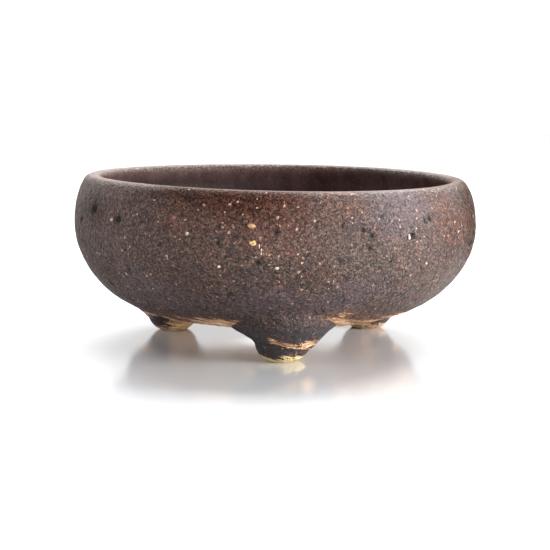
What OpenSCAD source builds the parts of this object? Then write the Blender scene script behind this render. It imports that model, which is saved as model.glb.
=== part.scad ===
// Round tripod bonsai pot: a thrown bowl with an incurved rim, standing on three
// hand-turned feet that are luted to the corner between its wall and its base.
// Millimetres. +Z is up, the origin is on the table under the bowl's axis, and -Y is the front.

/* [Bowl] */
// Diameter at the widest ring
bowl_d = 125; // [115:1:140]
// Height of the rim above the table
pot_h = 51.5; // [49:0.5:56]
// Height of the widest ring above the table
widest_z = 37; // [35:0.5:39]
// How much narrower than the widest ring the top of the wall is, in diameter
rim_inset = 6; // [4:0.5:9]
// Diameter of the flat base
base_d = 80; // [76:1:84]
// Height of the base above the table
base_z = 10; // [8:0.5:12]
// Thickness of the wall at the widest ring
wall_t = 5.5; // [4.5:0.1:6.5]
// Thickness of the floor
floor_t = 6; // [5:0.1:7]
// Thickness of the lip at the mouth
lip_t = 5.3; // [4.8:0.1:6]
// Height over which the lip rounds over
lip_round = 1.6; // [1:0.1:2]
// Height of the soft edge between the wall and the base
base_round = 0.8; // [0.5:0.1:1.2]

/* [Holes in the floor] */
// Diameter of the drain hole
drain_d = 14; // [10:1:18]
// Diameter of each hole for a tie-down wire
wire_hole_d = 3.6; // [3:0.1:4.5]
// Diameter of the circle that the wire holes lie on
wire_circle_d = 36; // [34:1:38]
// Number of wire holes
wire_holes = 4; // [2:1:4]

/* [Feet] */
// Distance of each foot's axis from the bowl's axis
foot_reach = 36.4; // [35:0.1:38]
// Direction of the front foot, counted anticlockwise from +X
front_foot_angle = -86; // [-95:1:-80]
// Direction of the rear right foot
rear_right_foot_angle = 33; // [25:1:38]
// Direction of the rear left foot
rear_left_foot_angle = 157; // [145:1:160]
// Diameter of a foot's tip, where it meets the table
tip_d = 10.4; // [9:0.2:11.6]
// Diameter of the worn ledge above the stub
ledge_d = 16.6; // [15.4:0.2:18]
// Height of that ledge above the table
ledge_z = 4.6; // [3.6:0.2:5.4]
// Diameter of the rounded shoulder that meets the bowl
shoulder_d = 30; // [28:0.5:31]
// Height of the shoulder's widest ring above the bowl's base
shoulder_rise = 2; // [1.6:0.1:2.6]
// Height of the shoulder's crown above its widest ring, inside the bowl's outline
crown_rise = 6; // [5:0.5:7]

/* [Hidden] */

$fn = 96;
arc_steps = 12;
clay = [0.30, 0.24, 0.22];
foot_clay = [0.24, 0.21, 0.21];
through = 1;

bowl_r = bowl_d / 2;
rim_d = bowl_d - rim_inset;
floor_z = base_z + floor_t;
// The wall's section is made of elliptical arcs that meet on the widest ring.
belly_reach = 0.56 * bowl_r;
shoulder_reach = 0.14 * bowl_r;
belly_axis_r = bowl_r - belly_reach;
incurve_axis_r = bowl_r - shoulder_reach;
mouth_r = rim_d / 2 - lip_t;
shoulder_z = base_z + shoulder_rise;
crown_z = shoulder_z + crown_rise;
tip_round = 0.8;
ledge_round = 0.4;
// How far the stub stands out of the tip's round, and the share of the ledge's height at which it starts
stub_flare = 0.9;
stub_start = 0.28;
// How far above the feet's crowns the solid that shapes them reaches
shaping_margin = 3;
first_wire_hole_angle = 45;

// Vertical semi-axis of an arc of that reach which passes through radius r at a height dz away
function arc_height(reach, axis_r, r, dz) = dz / sqrt(1 - pow((r - axis_r) / reach, 2));

belly_height = arc_height(belly_reach, belly_axis_r, base_d / 2, widest_z - base_z);
incurve_height = arc_height(shoulder_reach, incurve_axis_r, rim_d / 2, pot_h - lip_round - widest_z);
inner_incurve_height =
    arc_height(shoulder_reach, incurve_axis_r - wall_t, mouth_r, pot_h - lip_round - widest_z);

// Points of an elliptical arc about [axis_r, widest_z], from height z0 to height z1
function arc_by_height(axis_r, reach, height, z0, z1) = [
    for (i = [0 : arc_steps])
        let (z = z0 + (z1 - z0) * i / arc_steps)
        [axis_r + reach * sqrt(max(0, 1 - pow((z - widest_z) / height, 2))), z]
];

// Points of an elliptical arc about a centre, from one parameter angle to another
function arc_by_angle(centre, reach, height, a0, a1) = [
    for (i = [0 : arc_steps])
        let (a = a0 + (a1 - a0) * i / arc_steps)
        [centre.x + reach * cos(a), centre.y + height * sin(a)]
];

// Points of a quadratic curve from p to q that leaves and arrives along the lines through c
function curve(p, c, q, steps = 6) = [
    for (i = [0 : steps])
        let (t = i / steps)
        (1 - t) * (1 - t) * p + 2 * t * (1 - t) * c + t * t * q
];

// Outside of the bowl, from the middle of the base up to where the lip starts
outside = concat(
    [[0, base_z]],
    curve([base_d / 2 - 1.5 * base_round, base_z], [base_d / 2, base_z],
          arc_by_height(belly_axis_r, belly_reach, belly_height, base_z + base_round, widest_z)[0]),
    [for (i = [1 : arc_steps])
        arc_by_height(belly_axis_r, belly_reach, belly_height, base_z + base_round, widest_z)[i]],
    [for (i = [1 : arc_steps])
        arc_by_height(incurve_axis_r, shoulder_reach, incurve_height, widest_z, pot_h - lip_round)[i]]
);

// Top of the lip, from the outside to the mouth
lip = concat(
    curve([rim_d / 2, pot_h - lip_round], [rim_d / 2 - 0.7 * lip_round, pot_h],
          [rim_d / 2 - 1.5 * lip_round, pot_h]),
    curve([mouth_r + 0.9 * lip_round, pot_h], [mouth_r, pot_h], [mouth_r, pot_h - lip_round])
);

// Inside of the bowl, from the mouth down to the floor
inside = concat(
    [for (i = [1 : arc_steps])
        arc_by_height(incurve_axis_r - wall_t, shoulder_reach, inner_incurve_height,
                      pot_h - lip_round, widest_z)[i]],
    [for (i = [1 : arc_steps])
        arc_by_angle([belly_axis_r, widest_z], belly_reach - wall_t, widest_z - floor_z, 0, -90)[i]],
    [[0, floor_z]]
);

// The bottom of the bowl as a filled solid, up past the feet: what the feet are shaped to
module bowl_bottom() {
    low = [for (p = outside) if (p.y < crown_z + shaping_margin) p];
    rotate_extrude() polygon(concat(low, [[0, low[len(low) - 1].y]]));
}

module drain_hole() {
    translate([0, 0, base_z - through]) cylinder(d = drain_d, h = floor_t + 2 * through);
}

module wire_hole_ring() {
    for (i = [0 : wire_holes - 1])
        rotate(first_wire_hole_angle + i * 360 / wire_holes)
            translate([wire_circle_d / 2, 0, base_z - through])
                cylinder(d = wire_hole_d, h = floor_t + 2 * through);
}

module bowl() {
    color(clay)
        difference() {
            rotate_extrude() polygon(concat(outside, lip, inside));
            drain_hole();
            wire_hole_ring();
        }
}

// A foot's section: tip, waisted stub, ledge, flare and the domed shoulder under the bowl
foot_outline = concat(
    [[0, 0]],
    curve([tip_d / 2 - tip_round, 0], [tip_d / 2, 0], [tip_d / 2 + 0.2, tip_round], 3),
    curve([tip_d / 2 + stub_flare, stub_start * ledge_z], [0.45 * ledge_d, 0.6 * ledge_z],
          [ledge_d / 2 - ledge_round, ledge_z - ledge_round], 3),
    curve([ledge_d / 2, ledge_z + ledge_round], [0.44 * shoulder_d, 0.78 * shoulder_z],
          [shoulder_d / 2, shoulder_z], 4),
    [for (a = [18 : 18 : 90])
        [shoulder_d / 2 * cos(a), shoulder_z + crown_rise * sin(a)]]
);

// One foot, cut to the bowl's outline so that the two meet face to face in the luted joint
module foot(angle) {
    color(foot_clay)
        difference() {
            rotate(angle) translate([foot_reach, 0, 0]) rotate_extrude() polygon(foot_outline);
            bowl_bottom();
        }
}

module foot_front() { foot(front_foot_angle); }

module foot_rear_left() { foot(rear_left_foot_angle); }

module foot_rear_right() { foot(rear_right_foot_angle); }

bowl();
foot_front();
foot_rear_left();
foot_rear_right();
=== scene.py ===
import math
import random

import bmesh
import bpy
import numpy as np
from mathutils import Matrix, Vector, kdtree, noise


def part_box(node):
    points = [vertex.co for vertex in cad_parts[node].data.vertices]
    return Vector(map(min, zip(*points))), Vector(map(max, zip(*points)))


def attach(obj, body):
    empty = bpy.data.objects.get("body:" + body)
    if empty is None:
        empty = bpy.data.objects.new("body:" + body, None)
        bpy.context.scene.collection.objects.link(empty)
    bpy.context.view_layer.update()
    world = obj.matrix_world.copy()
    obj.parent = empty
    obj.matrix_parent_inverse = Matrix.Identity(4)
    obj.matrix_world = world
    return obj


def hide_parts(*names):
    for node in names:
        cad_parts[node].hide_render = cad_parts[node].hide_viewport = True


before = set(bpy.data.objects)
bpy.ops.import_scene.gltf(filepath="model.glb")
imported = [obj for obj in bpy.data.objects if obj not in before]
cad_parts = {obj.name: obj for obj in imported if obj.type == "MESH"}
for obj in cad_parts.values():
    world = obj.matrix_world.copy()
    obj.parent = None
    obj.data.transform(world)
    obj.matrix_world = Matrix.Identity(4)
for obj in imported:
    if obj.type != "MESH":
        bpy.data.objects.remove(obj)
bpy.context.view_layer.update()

# ---------------------------------------------------------------------------------------------
# Sizes, in metres. The pot's own come from the CAD nodes, and the others repeat the section there.
# ---------------------------------------------------------------------------------------------
MM = 0.001
bowl_low, bowl_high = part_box("bowl")
BOWL_R = bowl_high.x
POT_H = bowl_high.z
BASE_Z = bowl_low.z
WIDEST_Z = 37 * MM
RIM_R = BOWL_R - 3 * MM
BASE_R = 40 * MM
WALL_T = 5.5 * MM
FLOOR_Z = BASE_Z + 6 * MM
LIP_T = 5.3 * MM
LIP_ROUND = 1.6 * MM
BASE_ROUND = 1.2 * MM
MOUTH_R = RIM_R - LIP_T
DRAIN_R = 7 * MM
DRAIN_ROUND = 0.7 * MM
WIRE_CIRCLE_R = 18 * MM
WIRE_HOLES = 4
WIRE_FIRST_ANGLE = 45

# The wall's elliptical arcs: how far they reach out, and the radius that they are centred on
BELLY_REACH = 0.56 * BOWL_R
BELLY_AXIS_R = BOWL_R - BELLY_REACH
SHOULDER_REACH = 0.14 * BOWL_R
SHOULDER_AXIS_R = BOWL_R - SHOULDER_REACH

FOOT_REACH = 36.4 * MM
FEET = {"foot_front": -86, "foot_rear_left": 157, "foot_rear_right": 33}

SEED = 11


def arc_height(reach, axis_r, r, dz):
    """Vertical semi-axis of the arc of that reach which passes through radius r, dz away from its centre."""
    return dz / math.sqrt(1 - ((r - axis_r) / reach) ** 2)


BELLY_HEIGHT = arc_height(BELLY_REACH, BELLY_AXIS_R, BASE_R, WIDEST_Z - BASE_Z)
SHOULDER_HEIGHT = arc_height(SHOULDER_REACH, SHOULDER_AXIS_R, RIM_R, POT_H - LIP_ROUND - WIDEST_Z)
INNER_SHOULDER_HEIGHT = arc_height(
    SHOULDER_REACH, SHOULDER_AXIS_R - WALL_T, MOUTH_R, POT_H - LIP_ROUND - WIDEST_Z
)


# ---------------------------------------------------------------------------------------------
# Small helpers
# ---------------------------------------------------------------------------------------------
def smooth(low, high, x):
    """0 below low, 1 above high, and a smooth step between them."""
    t = np.clip((np.asarray(x, float) - low) / (high - low), 0, 1)
    return t * t * (3 - 2 * t)


def noise_at(points, size, seed=0, stretch=(1, 1, 1)):
    """Smooth noise, from about -1 to 1, with features of that size, at an array of points."""
    shift = Vector((seed * 7.13, seed * 3.71, seed * 5.39))
    scaled = points / (size * np.array(stretch))
    return np.array([noise.noise(Vector(p) + shift) for p in scaled])


def srgb(r, g, b):
    """A colour given as 0 to 255 in sRGB, as linear RGBA."""
    def linear(c):
        c /= 255
        return c / 12.92 if c <= 0.04045 else ((c + 0.055) / 1.055) ** 2.4
    return (linear(r), linear(g), linear(b), 1.0)


def new_object(name, vertices, faces):
    """A new piece in the scene, from its points and faces."""
    mesh = bpy.data.meshes.new(name)
    mesh.from_pydata([tuple(v) for v in vertices], [], faces)
    mesh.update()
    piece = bpy.data.objects.new(name, mesh)
    bpy.context.scene.collection.objects.link(piece)
    return piece


def coordinates(piece):
    co = np.zeros(len(piece.data.vertices) * 3)
    piece.data.vertices.foreach_get("co", co)
    return co.reshape(-1, 3)


def normals(piece):
    n = np.zeros(len(piece.data.vertices) * 3)
    piece.data.vertices.foreach_get("normal", n)
    return n.reshape(-1, 3)


def set_coordinates(piece, points):
    piece.data.vertices.foreach_set("co", points.ravel())
    piece.data.update()


def set_mask(piece, name, values):
    """Stores one number per vertex, which the materials read with an Attribute node."""
    layer = piece.data.attributes.get(name) or piece.data.attributes.new(name, "FLOAT", "POINT")
    layer.data.foreach_set("value", np.asarray(values, np.float32))


def smooth_shade(piece):
    piece.data.polygons.foreach_set("use_smooth", [True] * len(piece.data.polygons))
    piece.data.update()


# ---------------------------------------------------------------------------------------------
# Lines, and the section of the bowl
# ---------------------------------------------------------------------------------------------
def arc_points(axis_r, reach, height, a0, a1):
    """Points of an elliptical arc about (axis_r, WIDEST_Z), between two parameter angles."""
    angles = np.linspace(a0, a1, 90)
    return np.stack([axis_r + reach * np.cos(angles), WIDEST_Z + height * np.sin(angles)], 1)


def bend(p, c, q):
    """Points of a quadratic curve from p to q that leaves and arrives along the lines through c."""
    t = np.linspace(0, 1, 30)[:, None]
    p, c, q = np.array(p), np.array(c), np.array(q)
    return (1 - t) ** 2 * p + 2 * t * (1 - t) * c + t ** 2 * q


def resample(points, spacing):
    """The same line with points about one spacing apart, without its last point."""
    steps = np.r_[0, np.cumsum(np.linalg.norm(np.diff(points, axis=0), axis=1))]
    count = max(2, round(steps[-1] / spacing))
    at = np.linspace(0, steps[-1], count, endpoint=False)
    return np.stack([np.interp(at, steps, points[:, 0]), np.interp(at, steps, points[:, 1])], 1)


def spline(points):
    """A smooth line through the points, as many short steps."""
    out = []
    for i in range(len(points) - 1):
        p0, p1, p2 = points[max(i - 1, 0)], points[i], points[i + 1]
        p3 = points[min(i + 2, len(points) - 1)]
        for t in np.linspace(0, 1, 16, endpoint=False):
            out.append(0.5 * (2 * p1 + (p2 - p0) * t + (2 * p0 - 5 * p1 + 4 * p2 - p3) * t * t
                              + (3 * p1 - p0 - 3 * p2 + p3) * t ** 3))
    out.append(points[-1])
    return np.array(out)


def bowl_stretches():
    """The section once round, anticlockwise, as stretches: (name, line, spacing, how fine the rings are)."""
    lip_z = POT_H - LIP_ROUND
    low = math.asin((BASE_Z + BASE_ROUND - WIDEST_Z) / BELLY_HEIGHT)
    high = math.asin((lip_z - WIDEST_Z) / SHOULDER_HEIGHT)
    inner_high = math.asin((lip_z - WIDEST_Z) / INNER_SHOULDER_HEIGHT)
    belly = arc_points(BELLY_AXIS_R, BELLY_REACH, BELLY_HEIGHT, low, 0)
    incurve = arc_points(SHOULDER_AXIS_R, SHOULDER_REACH, SHOULDER_HEIGHT, 0, high)
    inner_incurve = arc_points(
        SHOULDER_AXIS_R - WALL_T, SHOULDER_REACH, INNER_SHOULDER_HEIGHT, inner_high, 0)
    inner_belly = arc_points(
        BELLY_AXIS_R, BELLY_REACH - WALL_T, WIDEST_Z - FLOOR_Z, 0, -math.pi / 2)
    base_edge = bend((BASE_R - BASE_ROUND, BASE_Z), (BASE_R, BASE_Z), belly[0])
    lip = np.concatenate([
        bend((RIM_R, lip_z), (RIM_R - 0.6 * LIP_ROUND, POT_H), (RIM_R - 1.5 * LIP_ROUND, POT_H)),
        bend((MOUTH_R + 1.1 * LIP_ROUND, POT_H), (MOUTH_R, POT_H), (MOUTH_R, lip_z))])
    rounded = DRAIN_R + DRAIN_ROUND
    drain = np.concatenate([
        bend((rounded, FLOOR_Z), (DRAIN_R, FLOOR_Z), (DRAIN_R, FLOOR_Z - DRAIN_ROUND)),
        bend((DRAIN_R, BASE_Z + DRAIN_ROUND), (DRAIN_R, BASE_Z), (rounded, BASE_Z))])
    under = np.array([(rounded, BASE_Z), (BASE_R - BASE_ROUND, BASE_Z)])
    floor = np.array([(BELLY_AXIS_R, FLOOR_Z), (rounded, FLOOR_Z)])
    return [
        ("under", under, 1.5 * MM, 1),
        ("outside", np.concatenate([base_edge, belly[1:], incurve[1:]]), 0.58 * MM, 2),
        ("lip", lip, 0.5 * MM, 2),
        ("inside", np.concatenate([inner_incurve, inner_belly[1:]]), 1.3 * MM, 1),
        ("floor", floor, 1.5 * MM, 1),
        ("drain", drain, 0.8 * MM, 1),
    ]


def wall_underside_z(r):
    """Height of the bowl's outer surface over the table at each radius, seen from below."""
    r = np.asarray(r, float)
    reach = np.clip((r - BELLY_AXIS_R) / BELLY_REACH, 0, 0.9999)
    return np.where(r < BASE_R, BASE_Z, np.maximum(BASE_Z, WIDEST_Z - BELLY_HEIGHT * np.sqrt(1 - reach ** 2)))


# ---------------------------------------------------------------------------------------------
# The clay: what bends the whole pot, and what roughens every surface of it
# ---------------------------------------------------------------------------------------------
RIM_DROP = 0.0106          # how much lower the rim is to the right, per metre across
OVAL = 0.22 * MM           # how far the thrown ring is from round


def hand_made(points):
    """The slight wobble of a thrown pot, as a movement of space, so that everything on the pot follows it."""
    moved = points.copy()
    angle = np.arctan2(points[:, 1], points[:, 0])
    up = smooth(14 * MM, POT_H, points[:, 2])
    swell = OVAL * up * (np.cos(2 * angle + 0.7) + 0.6 * np.cos(3 * angle + 2.1))
    moved[:, 0] += swell * np.cos(angle)
    moved[:, 1] += swell * np.sin(angle)
    moved[:, 2] -= RIM_DROP * up * points[:, 0]
    moved[:, 2] += 0.18 * MM * up * np.cos(2 * angle - 1.1)
    return moved


def outer_relief(points):
    """How far the rough outer clay stands out of the true surface, in metres."""
    lumps = noise_at(points, 9 * MM, 1) * 0.14 * MM
    grit = noise_at(points, 2.7 * MM, 2) * 0.1 * MM
    coarse = noise_at(points, 1.4 * MM, 3) * 0.12 * MM
    turning = noise_at(points, 3.2 * MM, 4, stretch=(7, 7, 1)) * 0.06 * MM
    return lumps + grit + coarse + turning


def inner_relief(points):
    """The same for the smoother inside, with the rings that the potter's fingers left."""
    angle = np.arctan2(points[:, 1], points[:, 0])
    climb = points[:, 2] + 0.35 * np.hypot(points[:, 0], points[:, 1])
    rings = np.sin(climb / (5.2 * MM) * 2 * math.pi + angle) * 0.11 * MM
    return rings + noise_at(points, 11 * MM, 5) * 0.18 * MM + noise_at(points, 2.6 * MM, 6) * 0.05 * MM


# ---------------------------------------------------------------------------------------------
# The bowl
# ---------------------------------------------------------------------------------------------
RING = 360


def lathe(stretches):
    """Turns the stretches of a closed section round the axis: its points, faces and each point's stretch."""
    rings = []
    for name, line, spacing, fine in stretches:
        rings += [(r, z, fine, name) for r, z in resample(line, spacing)]
    points, parts, starts = [], [], []
    for r, z, fine, name in rings:
        starts.append(len(points))
        count = RING * fine
        for j in range(count):
            a = 2 * math.pi * j / count
            points.append((r * math.cos(a), r * math.sin(a), z))
        parts += [name] * count
    faces = []
    for i, (_, _, fine, _) in enumerate(rings):
        k = (i + 1) % len(rings)
        a, b, next_fine = starts[i], starts[k], rings[k][2]
        if fine == next_fine:
            n = RING * fine
            faces += [(a + j, a + (j + 1) % n, b + (j + 1) % n, b + j) for j in range(n)]
            continue
        for j in range(RING):
            j1, m0, m1, m2 = (j + 1) % RING, 2 * j, 2 * j + 1, (2 * j + 2) % (2 * RING)
            if fine < next_fine:
                faces += [(a + j, b + m1, b + m0), (a + j, a + j1, b + m1), (a + j1, b + m2, b + m1)]
            else:
                faces += [(a + m0, a + m1, b + j), (a + m1, b + j1, b + j), (a + m1, a + m2, b + j1)]
    return np.array(points), faces, np.array(parts)


def near_foot(x, y, margin):
    """True where a point is within margin of a foot's axis."""
    for angle in FEET.values():
        a = math.radians(angle)
        if math.hypot(x - FOOT_REACH * math.cos(a), y - FOOT_REACH * math.sin(a)) < margin:
            return True
    return False


def wall_point(angle, z):
    """A point of the true outer wall and its outward normal, at an angle in degrees and a height."""
    if z < WIDEST_Z:
        axis_r, reach, height = BELLY_AXIS_R, BELLY_REACH, BELLY_HEIGHT
    else:
        axis_r, reach, height = SHOULDER_AXIS_R, SHOULDER_REACH, SHOULDER_HEIGHT
    s = (z - WIDEST_Z) / height
    c = math.sqrt(max(0.0, 1 - s * s))
    r = axis_r + reach * c
    n = Vector((c / reach, s / height)).normalized()
    a = math.radians(angle)
    return (Vector((r * math.cos(a), r * math.sin(a), z)),
            Vector((n.x * math.cos(a), n.x * math.sin(a), n.y)))


# Pits that stand out by eye: angle in degrees, then height, radius and depth in millimetres
BIG_PITS = [
    (-51.9, 39.0, 0.85, 1.3), (-136.4, 41.5, 1.0, 1.2), (-67.1, 41.3, 0.75, 1.1), (-64.7, 39.6, 0.75, 0.9),
    (-46.8, 42.9, 0.7, 0.9), (-44.9, 43.4, 0.8, 1.0), (-72.7, 42.6, 0.6, 0.7), (-58.6, 31.7, 0.6, 0.7),
    (-65.2, 36.0, 0.7, 0.5), (-148.5, 43.4, 1.4, 0.6), (-157.8, 39.7, 0.9, 0.7), (-104.6, 37.2, 0.6, 0.6),
    (-89.7, 40.6, 0.6, 0.6), (-94.3, 32.3, 0.6, 0.6), (-121, 36, 0.6, 0.6), (20, 38, 1.0, 1.0),
    (75, 42, 0.9, 0.9), (128, 36, 1.0, 1.1), (-175, 40, 0.8, 0.8),
]
# The biggest grains of grog: angle, height, half width and half height in millimetres, and tone
BIG_GRAINS = [
    (-96.0, 42.0, 1.0, 0.65, "ochre"), (-95.4, 37.4, 0.95, 0.75, "gold"), (-53.2, 38.8, 0.6, 0.8, "white"),
    (-139.0, 41.3, 0.5, 0.55, "white"), (-113.0, 39.5, 0.5, 0.55, "white"), (-79.9, 44.2, 0.4, 0.5, "cream"),
    (-116.9, 43.6, 0.6, 0.6, "rust"), (-103.6, 42.9, 0.35, 0.35, "cream"), (-103.5, 41.9, 0.4, 0.35, "cream"),
    (-89.5, 31.0, 0.6, 0.42, "white"), (-84.2, 29.9, 0.45, 0.4, "cream"), (-83.2, 33.6, 0.45, 0.5, "rust"),
    (-71.1, 47.5, 0.5, 0.4, "rust"), (-89.6, 44.6, 0.42, 0.6, "cream"), (-102.0, 48.0, 0.5, 0.35, "cream"),
    (-108.8, 47.3, 0.4, 0.4, "cream"), (-104.5, 30.6, 0.5, 0.4, "white"), (-105.4, 31.2, 0.45, 0.4, "rust"),
    (-36.8, 37.4, 0.6, 0.5, "rust"), (-45.5, 30.2, 0.4, 0.35, "white"), (40, 40, 1.1, 0.8, "gold"),
    (98, 35, 0.9, 0.9, "gold"), (150, 42, 0.9, 0.7, "cream"), (168, 37, 0.8, 0.8, "gold"),
]
# A grain that broke into a string of crumbs: where it starts and ends, angle and height
CRUMBLED = (-94.1, 37.1), (-93.2, 34.5)
CRUMBS = 6
SMALL_DENTS = 420
SMALL_GRAINS = 250
# Patches of the wall: angle and width in degrees, height and reach in millimetres, and strength.
# Where the kiln turned it warm:
WARM_PATCHES = [
    (-100, 22, 46, 9, 0.9), (-88, 12, 38, 9, 0.6), (-117, 4, 43, 4, 0.9), (-128, 14, 30, 9, 0.35),
    (-70, 7, 47, 5, 0.5), (-38, 12, 42, 11, 0.7), (-112, 9, 24, 6, 0.5), (60, 30, 40, 12, 0.8),
    (150, 25, 32, 12, 0.7),
]
# Where it is slaty grey; the strongest patch, at -54 degrees and 46.5 mm, is partly a painted sheen on the
# lit right shoulder:
SLATE_AND_SHEEN_PATCHES = [
    (-132, 16, 22, 8, 0.7), (-88, 20, 19, 7, 0.8), (-54, 12, 46.5, 7, 1.3), (-62, 14, 24, 8, 0.5),
    (10, 25, 26, 12, 0.7), (105, 25, 28, 12, 0.8),
]
# Where the wall is darker: mostly painted shade, down the left, under the rim and at the right edge, with
# some smoked patches; where the strength is negative, a painted sheen on the lit right shoulder:
PAINTED_SHADE_AND_SMOKE_PATCHES = [
    (-108, 24, 48.5, 7, 0.65), (-103, 26, 51, 3.2, 0.8), (-91, 12, 45, 6, 0.45), (-148, 6, 42.5, 4, 0.6),
    (-168, 22, 33, 13, 0.75), (-12, 18, 40, 16, 1.6), (-147, 18, 22, 10, 0.7), (-37, 7, 36, 12, 0.35),
    (-52, 8, 47, 4, -0.35), (70, 18, 46, 6, 0.7),
]
# Where the flame scorched the bare clay:
SCORCHES = [(-62, 12, 12, 5, 0.35), (15, 45, 6, 12, 0.9), (157, 24, 5, 6, 0.5)]


def patches(points, listed):
    """The soft patches of a list, added up at each point."""
    angle = np.degrees(np.arctan2(points[:, 1], points[:, 0]))
    total = np.zeros(len(points))
    for centre, wide, height, tall, strength in listed:
        away = (angle - centre + 180) % 360 - 180
        total += strength * np.exp(-(away / wide) ** 2 - ((points[:, 2] / MM - height) / tall) ** 2)
    return total


def slip_edge(points):
    """How far below the brushed edge of the slip a point of the wall is, in millimetres."""
    angle = np.degrees(np.arctan2(points[:, 1], points[:, 0]))
    rise = 3.0 * np.exp(-((angle + 69) / 8) ** 2) + 1.6 * np.exp(-((angle + 112) / 9) ** 2)
    wander = noise_at(points, 22 * MM, 8) * 1.6
    return 11.9 + rise + wander - points[:, 2] / MM


def clay_masks(piece, points):
    """The masks that follow from where a point is: the same on the bowl and the feet, so that they match."""
    set_mask(piece, "warm", patches(points, WARM_PATCHES) + 0.35 * noise_at(points, 14 * MM, 9))
    # Slaty grey patches, with a painted sheen on the lit right shoulder
    set_mask(piece, "slate_and_sheen", patches(points, SLATE_AND_SHEEN_PATCHES) + 0.35 * noise_at(points, 17 * MM, 10))
    # Mostly painted shade with some smoked patches, and a painted sheen where negative
    set_mask(piece, "painted_shade_and_smoke", patches(points, PAINTED_SHADE_AND_SMOKE_PATCHES))
    set_mask(piece, "scorch", patches(points, SCORCHES))
    set_mask(piece, "foot_slip", foot_slip(points))


def foot_slip(points):
    """1 on the feet, which took a thicker, bluer slip, and fading out over the wall above them."""
    nearest = np.full(len(points), 1.0)
    for angle in FEET.values():
        a = math.radians(angle)
        away = np.hypot(points[:, 0] - FOOT_REACH * math.cos(a), points[:, 1] - FOOT_REACH * math.sin(a))
        nearest = np.minimum(nearest, np.maximum(away - 11 * MM, 0) + np.maximum(points[:, 2] - 11 * MM, 0))
    return smooth(9 * MM, 1 * MM, nearest)


def scattered(count, rng, low_z, high_z):
    """Random places on the outer wall, clear of the feet, as (angle, height)."""
    places = []
    while len(places) < count:
        angle, z = rng.uniform(0, 360), rng.uniform(low_z, high_z)
        p, _ = wall_point(angle, z)
        if rng.random() * BOWL_R > math.hypot(p.x, p.y):
            continue
        if z < 21 * MM and near_foot(p.x, p.y, 20 * MM):
            continue
        places.append((angle, z))
    return places


def make_bowl():
    """The bowl, with its relief, pits, wire holes and masks."""
    points, faces, parts = lathe(bowl_stretches())
    bowl = new_object("bowl_clay", points, faces)
    true_normals = normals(bowl)
    outer = np.isin(parts, ["outside", "lip"])
    relief = np.zeros(len(points))
    relief[outer] = outer_relief(points[outer])
    relief[~outer] = inner_relief(points[~outer])
    z = points[:, 2]
    reach = np.hypot(points[:, 0], points[:, 1])
    relief *= 1 - 0.8 * smooth(POT_H - 2.4 * MM, POT_H - 0.7 * MM, z)

    rng = random.Random(SEED)
    tree = kdtree.KDTree(int(outer.sum()))
    for i in np.flatnonzero(outer):
        tree.insert(Vector(points[i]), int(i))
    tree.balance()
    # Painted shade in the pits: how far each dent sinks, which the material darkens
    painted_pit_shade = np.zeros(len(points))

    def dent(centre, size, depth):
        for _, i, far in tree.find_range(centre, size):
            share = (1 - (far / size) ** 2) ** 2
            relief[i] -= depth * share
            painted_pit_shade[i] = max(painted_pit_shade[i], share * min(1, depth / (0.55 * MM)))

    for angle, height, size, depth in BIG_PITS:
        dent(wall_point(angle, height * MM)[0], 1.6 * size * MM, depth * MM)
    for angle, height in scattered(SMALL_DENTS, rng, 13 * MM, POT_H - 2.5 * MM):
        size = (0.65 + 0.6 * rng.random() ** 2) * MM
        dent(wall_point(angle, height)[0], size, rng.uniform(0.12, 0.34) * size)

    set_mask(bowl, "painted_pit_shade", painted_pit_shade)
    set_mask(bowl, "inner", np.where(outer | (parts == "under"), 0, 1) * smooth(POT_H, POT_H - 2 * MM, z))
    # The lip's top edge: worn paler, and a painted highlight that is strongest at the front and on the lit
    # right side
    top_edge = smooth(RIM_R - 1.3 * MM, RIM_R - 2.2 * MM, reach)
    top_edge *= smooth(POT_H - 0.5 * MM, POT_H - 0.15 * MM, z)
    facing = smooth(0.35, -0.5, points[:, 1] / np.maximum(reach, MM))
    lit_right_side = smooth(-35 * MM, 35 * MM, points[:, 0])
    set_mask(bowl, "lip", top_edge * (0.25 + 0.75 * facing) * (0.4 + 0.6 * lit_right_side))
    # Painted shade: the inside darkens below the rim, more on the left side
    shaded_left_side = smooth(25 * MM, -35 * MM, points[:, 0])
    set_mask(bowl, "painted_depth_shade", smooth(POT_H + 1 * MM, POT_H - 9 * MM, z) * (0.6 + 0.7 * shaded_left_side))
    set_mask(bowl, "bare", np.where(outer | (parts == "under"), slip_edge(points), -20))
    set_mask(bowl, "under", (parts == "under").astype(float))
    clay_masks(bowl, points)
    set_coordinates(bowl, hand_made(points + true_normals * relief[:, None]))
    smooth_shade(bowl)
    pierce(bowl)
    return bowl


# The wire holes were pierced before the pot was slipped, so that they are the colour of the inside, and they
# take part of its painted depth shade
HOLE_MASKS = {"inner": 1.0, "painted_depth_shade": 0.6, "bare": -20.0}


# Half the section of what cuts one, in millimetres: radius, and height above the base
WIRE_HOLE_FLARE = [
    (3.4, -1.5), (3.4, -0.6), (2.2, 0.3), (1.8, 1.2), (1.8, 4.8), (2.2, 5.7), (3.4, 6.6), (3.4, 7.5),
]
WIRE_HOLE_SIDES = 40


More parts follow.
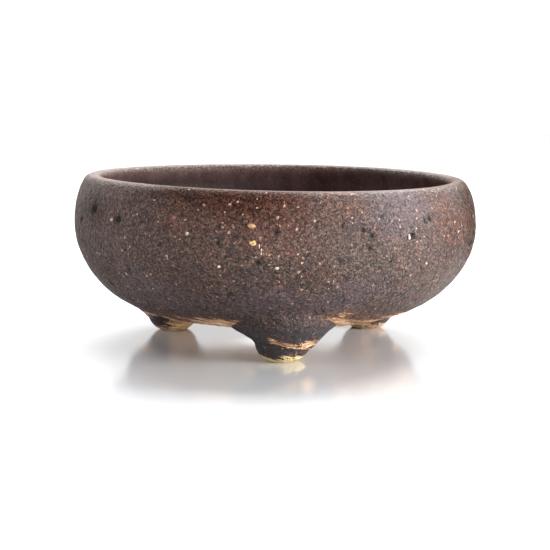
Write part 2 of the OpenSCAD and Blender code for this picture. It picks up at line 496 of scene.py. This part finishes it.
def pierce(bowl):
    """Cuts the wire holes, each with the soft flared edge that a pierced hole has."""
    sides = WIRE_HOLE_SIDES
    vertices, faces, centres = [], [], []
    for k in range(WIRE_HOLES):
        a = math.radians(WIRE_FIRST_ANGLE + 360 / WIRE_HOLES * k)
        cx, cy = WIRE_CIRCLE_R * math.cos(a), WIRE_CIRCLE_R * math.sin(a)
        centres.append((cx, cy))
        start = len(vertices)
        for r, dz in WIRE_HOLE_FLARE:
            for j in range(sides):
                t = 2 * math.pi * j / sides
                vertices.append((cx + r * MM * math.cos(t), cy + r * MM * math.sin(t), BASE_Z + dz * MM))
        for i in range(len(WIRE_HOLE_FLARE) - 1):
            for j in range(sides):
                p, q = start + i * sides, start + (i + 1) * sides
                faces.append((p + j, p + (j + 1) % sides, q + (j + 1) % sides, q + j))
        faces.append([start + j for j in reversed(range(sides))])
        faces.append([start + (len(WIRE_HOLE_FLARE) - 1) * sides + j for j in range(sides)])
    cutter = new_object("cutter", vertices, faces)
    cut = bowl.modifiers.new("wire_holes", "BOOLEAN")
    cut.operation = "DIFFERENCE"
    cut.solver = "EXACT"
    cut.object = cutter
    apply_modifiers(bowl)
    bpy.data.objects.remove(cutter)
    points = coordinates(bowl)
    off_axis = np.min([np.hypot(points[:, 0] - cx, points[:, 1] - cy) for cx, cy in centres], axis=0)
    pierced = (off_axis < 3.2 * MM) & (points[:, 2] > BASE_Z + 0.4 * MM)
    for name, value in HOLE_MASKS.items():
        mask = bowl.data.attributes[name].data
        values = np.empty(len(points), np.float32)
        mask.foreach_get("value", values)
        values[pierced] = value
        mask.foreach_set("value", values)


def apply_modifiers(piece):
    """Gives a piece the mesh that its modifiers make, and takes the modifiers away."""
    graph = bpy.context.evaluated_depsgraph_get()
    mesh = bpy.data.meshes.new_from_object(piece.evaluated_get(graph))
    piece.modifiers.clear()
    old = piece.data
    piece.data = mesh
    mesh.name = piece.name
    bpy.data.meshes.remove(old)


# ---------------------------------------------------------------------------------------------
# The feet
# ---------------------------------------------------------------------------------------------
# Section of a foot from the middle of its tip, in millimetres: radius and height
FOOT_LINE = [
    (0, 0), (4.0, 0), (4.6, 0.2), (5.4, 0.7), (6.1, 1.2), (6.8, 2.0), (7.4, 2.9), (7.8, 3.7), (8.2, 4.4),
    (8.9, 5.2), (10.0, 6.3), (11.2, 7.3), (12.65, 8.6), (13.8, 9.9), (14.8, 11.6), (15.4, 13.6),
    (16.2, 17.0), (17.2, 22.0), (20.5, 40.0),
]
# Heights in millimetres: of the ledge, up to which the tip is bare, and of the smear with no slip
LEDGE_Z = 5.0
TIP_BARE = 2.0
SMEAR_Z = 6.6
FOOT_SIDES = 220


def smooth_min(a, b, width):
    """The lower of the two, with a rounded crossing of that width."""
    h = np.maximum(width - np.abs(a - b), 0) / width
    return np.minimum(a, b) - h * h * width / 4


def foot_bare(points, centre, lean, smear):
    """How far inside a patch with no slip a point of a foot is, in millimetres: the tip, a smear on the ledge
    that is centred on that angle, and the side that faces the middle of the pot."""
    offset = points[:, :2] - centre
    around = np.arctan2(offset[:, 1], offset[:, 0])
    z = points[:, 2] / MM
    tip = (TIP_BARE - z) * 1.6
    turned = np.degrees(around) - smear
    turned = np.abs((turned + 180) % 360 - 180)
    ledge = 0.9 - np.abs(z - SMEAR_Z + lean * np.cos(around)) - np.maximum(turned - 42, 0) * 0.08
    inward = -(offset @ centre) / (np.linalg.norm(offset, axis=1) * np.linalg.norm(centre) + 1e-9)
    under = np.minimum((inward - 0.3) * 7, 12.5 - z)
    return np.maximum(np.maximum(tip, ledge), under)


def make_foot(name, angle, lean, smear):
    """A turned foot whose shoulder is smeared into the bowl.

    lean is how much its ledge drops towards +X, and twice how far its tip is off to -X, in millimetres.
    smear is the direction in which the ledge is rubbed bare."""
    a0 = math.radians(angle)
    centre = np.array([FOOT_REACH * math.cos(a0), FOOT_REACH * math.sin(a0)])
    line = resample(spline(np.array(FOOT_LINE) * MM), 0.42 * MM)
    line = line[line[:, 0] > 0.3 * MM]
    line = line[line[:, 1] < 30 * MM]
    points, faces = [(centre[0], centre[1], 0.0)], []
    turn = np.linspace(0, 2 * math.pi, FOOT_SIDES, endpoint=False)
    rows = []
    for r, z in line:
        ledge = math.exp(-((z - LEDGE_Z * MM) / (3.0 * MM)) ** 2)
        rr = r * (1 + 0.012 * np.cos(2 * turn + a0) + 0.01 * np.cos(3 * turn + 2 * a0))
        zz = z - lean * ledge * np.cos(turn) * MM * (z > 0.5 * MM)
        off_axis = -0.5 * lean * float(smooth(8 * MM, 2 * MM, z)) * MM
        x, y = centre[0] + off_axis + rr * np.cos(turn), centre[1] + rr * np.sin(turn)
        wall = wall_underside_z(np.hypot(x, y))
        zz = smooth_min(zz, wall, 3.2 * MM) if z > 5 * MM else zz
        rows.append(np.stack([x, y, zz], 1))
    # The last rows follow the wall and then dive under it, so that the seam can't be seen
    for extra, sink in ((0.5, 0.02), (0.8, 0.15), (1.0, 0.6)):
        last = rows[-1]
        out = last[:, :2] - centre
        away = out / np.linalg.norm(out, axis=1)[:, None]
        xy = last[:, :2] + away * extra * MM
        wall = wall_underside_z(np.hypot(xy[:, 0], xy[:, 1])) + sink * MM
        rows.append(np.column_stack([xy, wall]))
    for row in rows:
        points += [tuple(p) for p in row]
    top = len(points)
    points.append((centre[0], centre[1], BASE_Z + 2.5 * MM))
    n = FOOT_SIDES
    faces += [(0, 1 + (j + 1) % n, 1 + j) for j in range(n)]
    for i in range(len(rows) - 1):
        p, q = 1 + i * n, 1 + (i + 1) * n
        faces += [(p + j, p + (j + 1) % n, q + (j + 1) % n, q + j) for j in range(n)]
    last = 1 + (len(rows) - 1) * n
    faces += [(last + j, last + (j + 1) % n, top) for j in range(n)]
    foot = new_object(name + "_clay", points, faces)
    points = np.array(points)
    n_true = normals(foot)
    grounded = smooth(0.2 * MM, 1.2 * MM, points[:, 2])
    relief = outer_relief(points) * (0.25 + 0.75 * grounded)
    relief[0] = relief[-1] = 0
    moved = points + n_true * (relief * grounded)[:, None]
    moved[:, 2] = np.maximum(moved[:, 2], 0)
    bare = foot_bare(points, centre, lean, smear)
    skirt = smooth(14.5 * MM, 16.5 * MM, np.linalg.norm(points[:, :2] - centre, axis=1))
    set_mask(foot, "bare", bare * (1 - skirt) + slip_edge(points) * skirt)
    set_mask(foot, "tip", smooth(2.8 * MM, 1.8 * MM, points[:, 2]) * (1 if name == "foot_front" else 0.2))
    clay_masks(foot, points)
    set_coordinates(foot, hand_made(moved))
    smooth_shade(foot)
    return foot


# ---------------------------------------------------------------------------------------------
# The grains of grog that stand out of the wall
# ---------------------------------------------------------------------------------------------
GRAIN_TONES = {"rust": 0.0, "ochre": 0.17, "gold": 0.33, "cream": 0.67, "white": 1.0}


def grain_shape(wide, tall, lift, rng, finer):
    """One irregular grain about the origin, as points and faces: x and y along the wall, z out of it."""
    ball = bmesh.new()
    bmesh.ops.create_icosphere(ball, subdivisions=3 if finer else 2, radius=1)
    shift = Vector((rng.uniform(0, 50), rng.uniform(0, 50), rng.uniform(0, 50)))
    spin = rng.uniform(0, 2 * math.pi) if wide == tall else rng.uniform(-0.3, 0.3)
    points = []
    for v in ball.verts:
        p = v.co * (1 + 0.35 * noise.noise(v.co * 1.1 + shift) + 0.12 * noise.noise(v.co * 2.9 + shift))
        x, y = p.x * wide, p.y * tall
        turned_x = x * math.cos(spin) - y * math.sin(spin)
        turned_y = x * math.sin(spin) + y * math.cos(spin)
        points.append((turned_x, turned_y, p.z * lift))
    faces = [[v.index for v in face.verts] for face in ball.faces]
    ball.free()
    return np.array(points), faces


def make_grog(bowl):
    """All the grains that show on the outside of the bowl, each one sunk into its surface."""
    rng = random.Random(SEED + 1)
    grains = [(angle, height * MM, wide * MM, tall * MM, GRAIN_TONES[tone])
              for angle, height, wide, tall, tone in BIG_GRAINS]
    for i in range(CRUMBS):
        t = i / (CRUMBS - 1)
        angle, height = (CRUMBLED[0][k] * (1 - t) + CRUMBLED[1][k] * t for k in range(2))
        grains.append((angle, height * MM, 0.22 * MM, 0.33 * MM, GRAIN_TONES["cream" if i % 2 else "white"]))
    for angle, height in scattered(SMALL_GRAINS, rng, 14 * MM, POT_H - 2.5 * MM):
        size = (0.15 + 0.2 * rng.random() ** 2) * MM
        tone = rng.choices((0.05, 0.2, 0.5, 0.62, 0.9), (18, 7, 50, 21, 4))[0] + rng.uniform(-0.05, 0.05)
        grains.append((angle, height, size, size * rng.uniform(0.7, 1.0), tone))
    wall, turned = coordinates(bowl), normals(bowl)
    tree = kdtree.KDTree(len(wall))
    for i, p in enumerate(wall):
        tree.insert(Vector(p), i)
    tree.balance()
    vertices, faces, tones = [], [], []
    for angle, height, wide, tall, tone in grains:
        seat = hand_made(np.array([wall_point(angle, height)[0]]))[0]
        _, nearest, _ = tree.find(Vector(seat))
        out = Vector(turned[nearest])
        across = Vector((0, 0, 1)).cross(out).normalized()
        up = out.cross(across)
        lift = 0.5 * min(wide, tall)
        points, sides = grain_shape(wide, tall, lift, rng, max(wide, tall) > 0.6 * MM)
        base = Vector(wall[nearest]) - out * 0.1 * lift
        start = len(vertices)
        vertices += [base + across * x + up * y + out * z for x, y, z in points]
        faces += [[start + i for i in side] for side in sides]
        tones += [tone] * len(points)
    grog = new_object("grog_grains", vertices, faces)
    set_mask(grog, "tone", tones)
    smooth_shade(grog)
    return grog


# ---------------------------------------------------------------------------------------------
# Materials
# ---------------------------------------------------------------------------------------------
class Nodes:
    """A short way to write a node tree."""

    def __init__(self, name):
        self.material = bpy.data.materials.new(name)
        self.material.use_nodes = True
        self.tree = self.material.node_tree
        self.shader = self.tree.nodes["Principled BSDF"]
        coords = self.tree.nodes.new("ShaderNodeTexCoord")
        self.place = coords.outputs["Object"]

    def link(self, source, target):
        if hasattr(source, "is_output"):
            self.tree.links.new(source, target)
        else:
            target.default_value = source

    def noise(self, size, detail=3, rough=0.55, at=None):
        node = self.tree.nodes.new("ShaderNodeTexNoise")
        self.link(at or self.place, node.inputs["Vector"])
        node.inputs["Scale"].default_value = 1 / size
        node.inputs["Detail"].default_value = detail
        node.inputs["Roughness"].default_value = rough
        return node.outputs["Fac"]

    def cells(self, size, at=None):
        node = self.tree.nodes.new("ShaderNodeTexVoronoi")
        self.link(at or self.place, node.inputs["Vector"])
        node.inputs["Scale"].default_value = 1 / size
        return node.outputs["Distance"], node.outputs["Color"]

    def stretched(self, x, y, z, shift=0.0):
        node = self.tree.nodes.new("ShaderNodeMapping")
        self.link(self.place, node.inputs["Vector"])
        node.inputs["Scale"].default_value = (x, y, z)
        node.inputs["Location"].default_value = (shift, shift, shift)
        return node.outputs["Vector"]

    def brushed(self, tilt, squeeze):
        """The place as seen by strokes that fall by that many degrees towards +X and are drawn out by
        1 / squeeze."""
        turned = self.tree.nodes.new("ShaderNodeMapping")
        self.link(self.place, turned.inputs["Vector"])
        turned.inputs["Rotation"].default_value = (0, math.radians(-tilt), 0)
        node = self.tree.nodes.new("ShaderNodeMapping")
        self.link(turned.outputs["Vector"], node.inputs["Vector"])
        node.inputs["Scale"].default_value = (squeeze, squeeze, 1.2)
        return node.outputs["Vector"]

    def steps(self, value, low, high, low_out=0.0, high_out=1.0):
        node = self.tree.nodes.new("ShaderNodeMapRange")
        node.interpolation_type = "SMOOTHSTEP"
        self.link(value, node.inputs["Value"])
        node.inputs["From Min"].default_value = low
        node.inputs["From Max"].default_value = high
        node.inputs["To Min"].default_value = low_out
        node.inputs["To Max"].default_value = high_out
        return node.outputs["Result"]

    def math(self, kind, a, b=0.0):
        node = self.tree.nodes.new("ShaderNodeMath")
        node.operation = kind
        self.link(a, node.inputs[0])
        self.link(b, node.inputs[1])
        return node.outputs[0]

    def mix(self, factor, a, b, kind="MIX"):
        node = self.tree.nodes.new("ShaderNodeMix")
        node.data_type = "RGBA"
        node.blend_type = kind
        self.link(factor, node.inputs[0])
        self.link(a, node.inputs[6])
        self.link(b, node.inputs[7])
        return node.outputs[2]

    def mask(self, name):
        node = self.tree.nodes.new("ShaderNodeAttribute")
        node.attribute_name = name
        return node.outputs["Fac"]

    def channel(self, colour, index):
        node = self.tree.nodes.new("ShaderNodeSeparateColor")
        self.link(colour, node.inputs[0])
        return node.outputs[index]

    def bump(self, height, strength, distance):
        node = self.tree.nodes.new("ShaderNodeBump")
        node.inputs["Strength"].default_value = strength
        node.inputs["Distance"].default_value = distance
        self.link(height, node.inputs["Height"])
        return node.outputs["Normal"]

    def flecks(self, size, share, radius, ragged, at=None):
        """Irregular flecks in that share of the cells of a grid of that size, and a random tone for each."""
        distance, colour = self.cells(size, at)
        own = self.channel(colour, 0)
        chosen = self.steps(self.math("ADD", own, share), 0.99, 1.01)
        rough_edge = self.math("MULTIPLY", self.math("SUBTRACT", ragged, 0.5), 0.5)
        near = self.steps(self.math("ADD", distance, rough_edge), radius, radius * 0.7)
        return self.math("MULTIPLY", chosen, near), self.channel(colour, 1)

    def jumbled(self, amount, size):
        """The place moved about by noise, so that what is drawn there loses its regular shape."""
        node = self.tree.nodes.new("ShaderNodeTexNoise")
        self.link(self.place, node.inputs["Vector"])
        node.inputs["Scale"].default_value = 1 / size
        centred = self.tree.nodes.new("ShaderNodeVectorMath")
        centred.operation = "SUBTRACT"
        self.link(node.outputs["Color"], centred.inputs[0])
        centred.inputs[1].default_value = (0.5, 0.5, 0.5)
        moved = self.tree.nodes.new("ShaderNodeVectorMath")
        moved.operation = "MULTIPLY_ADD"
        self.link(centred.outputs[0], moved.inputs[0])
        moved.inputs[1].default_value = (amount, amount, amount)
        self.link(self.place, moved.inputs[2])
        return moved.outputs[0]


def clay_material(name):
    """Coarse grogged stoneware under a thin iron slip, with bare clay where the masks say."""
    n = Nodes(name)
    jumbled = n.jumbled(1.3 * MM, 0.9 * MM)
    broad = n.noise(24 * MM, 3)
    middle = n.noise(5 * MM, 3, 0.6)
    fine = n.noise(0.8 * MM, 2, 0.65)
    sand_far, sand_colour = n.cells(0.45 * MM, jumbled)
    sand = n.channel(sand_colour, 0)
    sand_tint = n.channel(sand_colour, 1)

    coarse_far, coarse_colour = n.cells(1.05 * MM, n.jumbled(2.0 * MM, 1.6 * MM))
    coarse = n.channel(coarse_colour, 0)

    # The slip: brown to purple-grey, warmer and cooler in patches
    slip = n.mix(n.steps(broad, 0.35, 0.65), srgb(43, 34, 30), srgb(50, 36, 31))
    warm = n.steps(n.math("ADD", n.mask("warm"), n.math("SUBTRACT", middle, 0.5)), 0.1, 0.8)
    slip = n.mix(n.math("MULTIPLY", warm, 0.78), slip, srgb(64, 38, 29))
    rusty = n.math("MULTIPLY", n.steps(n.noise(3.6 * MM, 2, 0.6), 0.52, 0.68), n.steps(warm, 0, 1, 0.35, 0.8))
    slip = n.mix(n.math("MULTIPLY", rusty, 0.34), slip, srgb(98, 52, 39))
    # Slaty grey, and a painted sheen on the lit right shoulder
    slate_and_sheen = n.steps(n.math("ADD", n.mask("slate_and_sheen"), n.math("SUBTRACT", middle, 0.5)), 0.15, 0.85)
    slip = n.mix(n.math("MULTIPLY", slate_and_sheen, 0.7), slip, srgb(61, 52, 57))
    slip = n.mix(n.math("MULTIPLY", n.mask("foot_slip"), 0.95), slip, srgb(30, 33, 39))

    # The sand in it: every grain has its own tone
    slip = n.mix(n.steps(sand_tint, 0.72, 0.95, 0, 0.34), slip, srgb(96, 58, 48))
    slip = n.mix(n.steps(sand_tint, 0.25, 0.02, 0, 0.3), slip, srgb(62, 60, 66))
    dark = n.mix(1.0, slip, srgb(124, 119, 118), "MULTIPLY")
    light = n.mix(0.27, slip, srgb(146, 120, 104))
    grains = n.mix(n.steps(sand, 0.02, 0.45), dark, slip)
    grains = n.mix(n.steps(sand, 0.6, 1.0, 0, 0.9), grains, light)
    grains = n.mix(n.steps(coarse, 0.14, 0.02, 0, 0.16), grains, dark)
    grains = n.mix(n.steps(coarse, 0.9, 0.98, 0, 0.14), grains, light)
    colour = n.mix(n.steps(n.mask("foot_slip"), 0, 1, 1, 0.3), slip, grains)
    # Painted shade where that mask is positive, and a painted sheen where it is negative
    colour = n.mix(n.steps(n.mask("painted_shade_and_smoke"), 0, 1.6, 0, 0.95), colour, srgb(198, 178, 168), "MULTIPLY")
    colour = n.mix(n.steps(n.mask("painted_shade_and_smoke"), 0, -1, 0, 0.22), colour, srgb(150, 134, 140))
    spread = n.steps(n.math("ADD", broad, n.math("MULTIPLY", warm, 0.25)), 0.35, 0.7, 0.35, 1.0)
    small, small_tone = n.flecks(1.25 * MM, 0.16, 0.28, fine, jumbled)
    small_colour = n.mix(n.steps(small_tone, 0.15, 0.6), srgb(112, 64, 46), srgb(154, 128, 108))
    colour = n.mix(n.math("MULTIPLY", small, spread), colour, small_colour)
    pores, _ = n.flecks(1.15 * MM, 0.22, 0.24, fine, n.stretched(1, 1, 1.15, 0.019))
    # Painted shade: the pores and the pits are darkened almost to black
    colour = n.mix(n.math("MULTIPLY", pores, 0.8), colour, srgb(18, 14, 13))
    colour = n.mix(n.steps(n.mask("painted_pit_shade"), 0.15, 0.6, 0, 0.95), colour, srgb(14, 11, 10))

    # The inside is smoother, and darker lower down with painted depth shade; the lip is worn a little paler,
    # with a painted highlight towards the front and the lit right
    runs = n.noise(5 * MM, 3, 0.6, at=n.stretched(1, 1, 0.1))
    inside = n.mix(n.steps(runs, 0.35, 0.65), srgb(52, 35, 33), srgb(72, 51, 48))
    inside = n.mix(n.steps(sand, 0.7, 1, 0, 0.25), inside, srgb(110, 90, 80))
    # Painted shade, darker with depth inside
    inside = n.mix(n.mask("painted_depth_shade"), inside, srgb(146, 134, 130), "MULTIPLY")
    colour = n.mix(n.mask("inner"), colour, inside)
    # Worn paler lip, with a painted highlight
    colour = n.mix(n.math("MULTIPLY", n.mask("lip"), 0.6), colour, srgb(94, 81, 73))

    # Bare clay beyond the slip's brushed edge, with a rusty halo where the slip thins out
    streak = n.noise(1.2 * MM, 4, 0.7, at=n.brushed(15, 0.15))
    ragged = n.math("ADD", n.math("MULTIPLY", n.math("SUBTRACT", streak, 0.5), 11),
                    n.math("MULTIPLY", n.math("SUBTRACT", sand, 0.5), 1.3))
    edge = n.math("ADD", n.mask("bare"), ragged)
    halo = n.steps(edge, -2.6, 0.2)
    halo = n.math("MULTIPLY", halo, n.steps(n.mask("foot_slip"), 0, 1, 0.6, 0.25))
    colour = n.mix(halo, colour, srgb(96, 62, 44))
    tone = n.noise(0.9 * MM, 4, 0.7, at=n.brushed(12, 0.2))
    bare_clay = n.mix(n.steps(tone, 0.3, 0.48), srgb(124, 82, 52), srgb(184, 138, 98))
    bare_clay = n.mix(n.steps(tone, 0.46, 0.64), bare_clay, srgb(230, 202, 166))
    bare_clay = n.mix(n.math("MULTIPLY", n.mask("tip"), 0.8), bare_clay, srgb(192, 176, 120))
    bare_clay = n.mix(n.steps(sand, 0.6, 1.0, 0, 0.45), bare_clay, srgb(140, 96, 62))
    plain = n.mix(n.steps(middle, 0.3, 0.7), srgb(166, 122, 86), srgb(192, 150, 110))
    bare_clay = n.mix(n.math("MULTIPLY", n.mask("under"), 0.7), bare_clay, plain)
    bare_clay = n.mix(n.math("MULTIPLY", n.mask("scorch"), 0.6), bare_clay, srgb(98, 68, 48))
    bare = n.steps(edge, -0.1, 0.6)
    colour = n.mix(bare, colour, bare_clay)
    n.link(colour, n.shader.inputs["Base Color"])

    dull = n.math("ADD", n.mask("lip"), n.mask("painted_shade_and_smoke"))
    n.link(n.steps(dull, 0, 1.2, 0.25, 0.04), n.shader.inputs["Specular IOR Level"])
    gloss = n.math("ADD", n.steps(fine, 0.2, 0.8, 0.52, 0.74), n.math("MULTIPLY", n.mask("lip"), 0.1))
    n.link(gloss, n.shader.inputs["Roughness"])
    grit = n.math("ADD", n.math("MULTIPLY", sand_far, -0.5), n.math("MULTIPLY", fine, 0.9))
    grit = n.math("SUBTRACT", grit, n.math("MULTIPLY", coarse_far, 0.6))
    grit = n.math("SUBTRACT", grit, n.math("MULTIPLY", pores, 0.8))
    calm = n.steps(n.math("MAXIMUM", n.mask("inner"), n.mask("lip")), 0, 1, 1, 0.25)
    n.link(n.bump(n.math("MULTIPLY", grit, calm), 0.82, 0.42 * MM), n.shader.inputs["Normal"])
    return n.material


def grog_material():
    """Fired grog: every grain has a tone of its own, from rusty to white, and is a little uneven."""
    n = Nodes("fired_grog")
    tone = n.mask("tone")
    mottle = n.noise(0.5 * MM, 3, 0.6)
    colour = n.mix(n.steps(tone, 0.05, 0.3), srgb(104, 58, 42), srgb(184, 148, 90))
    colour = n.mix(n.steps(tone, 0.38, 0.5), colour, srgb(96, 78, 68))
    colour = n.mix(n.steps(tone, 0.55, 0.72), colour, srgb(128, 109, 96))
    colour = n.mix(n.steps(tone, 0.8, 0.95), colour, srgb(180, 166, 150))
    colour = n.mix(n.steps(mottle, 0.55, 0.42, 0, 0.75), colour, srgb(84, 56, 36))
    colour = n.mix(n.steps(mottle, 0.58, 0.7, 0, 0.35), colour, srgb(226, 208, 172))
    n.link(colour, n.shader.inputs["Base Color"])
    n.link(n.steps(mottle, 0.3, 0.7, 0.45, 0.7), n.shader.inputs["Roughness"])
    n.link(n.bump(mottle, 0.8, 0.15 * MM), n.shader.inputs["Normal"])
    return n.material


# ---------------------------------------------------------------------------------------------
# Stage, lights and camera
# ---------------------------------------------------------------------------------------------
CAMERA_AT = (0.0, -0.450, 0.0845)
CAMERA_PITCH = 8.15
CAMERA_ROLL = 0.34
CAMERA_LENS = 93.93
SENSOR = 36.0


def make_camera():
    """The photo's camera: its place, tilt, slight roll and long lens."""
    data = bpy.data.cameras.new("camera")
    data.lens = CAMERA_LENS
    data.sensor_width = SENSOR
    data.clip_start = 0.01
    camera = bpy.data.objects.new("camera", data)
    turn = Matrix.Rotation(math.radians(90 - CAMERA_PITCH), 4, "X")
    roll = Matrix.Rotation(math.radians(CAMERA_ROLL), 4, "Z")
    camera.matrix_world = Matrix.Translation(CAMERA_AT) @ turn @ roll
    bpy.context.scene.collection.objects.link(camera)
    bpy.context.scene.camera = camera


def area_light(name, at, aim, size, watts):
    """A soft box of that size at a place, turned to what it lights."""
    data = bpy.data.lights.new(name, "AREA")
    data.shape = "RECTANGLE"
    data.size, data.size_y = size
    data.energy = watts
    light = bpy.data.objects.new(name, data)
    light.location = at
    light.rotation_euler = (Vector(aim) - Vector(at)).to_track_quat("-Z", "Y").to_euler()
    bpy.context.scene.collection.objects.link(light)


def make_stage():
    """A pale tabletop with a soft shine, and even white light all round."""
    side, steps = 3.0, 24
    vertices, faces = [], []
    for i in range(steps + 1):
        for j in range(steps + 1):
            vertices.append((side * (i / steps - 0.5), side * (j / steps - 0.5), 0.0))
    for i in range(steps):
        for j in range(steps):
            a = i * (steps + 1) + j
            faces.append((a, a + steps + 1, a + steps + 2, a + 1))
    floor = new_object("floor", vertices, faces)
    n = Nodes("pale_floor")
    cloud = n.noise(120 * MM, 2)
    n.link(n.mix(cloud, srgb(183, 184, 186), srgb(187, 188, 190)), n.shader.inputs["Base Color"])
    n.shader.inputs["Roughness"].default_value = 0.15
    n.shader.inputs["Coat Weight"].default_value = 0.75
    n.shader.inputs["Coat Roughness"].default_value = 0.15
    floor.data.materials.append(n.material)
    world = bpy.data.worlds.new("studio")
    world.use_nodes = True
    world.node_tree.nodes["Background"].inputs[0].default_value = (1, 1, 1, 1)
    world.node_tree.nodes["Background"].inputs[1].default_value = 1.06
    bpy.context.scene.world = world
    bpy.context.scene.view_settings.view_transform = "Standard"


# ---------------------------------------------------------------------------------------------
# Putting it together
# ---------------------------------------------------------------------------------------------
def around_pot(angle, height, distance):
    """A place for a light: its direction from the pot and its height, in degrees, and how far it is."""
    a, e = math.radians(angle), math.radians(height)
    level = distance * math.cos(e)
    return (level * math.cos(a), level * math.sin(a), distance * math.sin(e))


make_camera()
make_stage()
POT_MIDDLE = (0, 0, 0.03)
area_light("window", around_pot(-24, 13, 0.9), POT_MIDDLE, (0.5, 0.3), 26.0)
area_light("top_softbox", around_pot(79, 56, 0.9), POT_MIDDLE, (1.0, 0.55), 42.5)
area_light("left_softbox", around_pot(204, 24, 0.9), POT_MIDDLE, (0.4, 0.3), 3.2)

bowl = make_bowl()
bowl.data.materials.append(clay_material("stoneware_bowl"))
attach(bowl, "root")
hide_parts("bowl")

grog = make_grog(bowl)
grog.data.materials.append(grog_material())
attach(grog, "root")

foot_clay = clay_material("stoneware_foot")
# Each foot's lean in millimetres, and the direction of its smear in degrees
FOOT_HABITS = {"foot_front": (1.0, -62), "foot_rear_left": (-0.5, 200), "foot_rear_right": (0.4, 20)}
for name, (lean, smear) in FOOT_HABITS.items():
    foot = make_foot(name, FEET[name], lean, smear)
    foot.data.materials.append(foot_clay)
    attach(foot, "root")
    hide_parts(name)
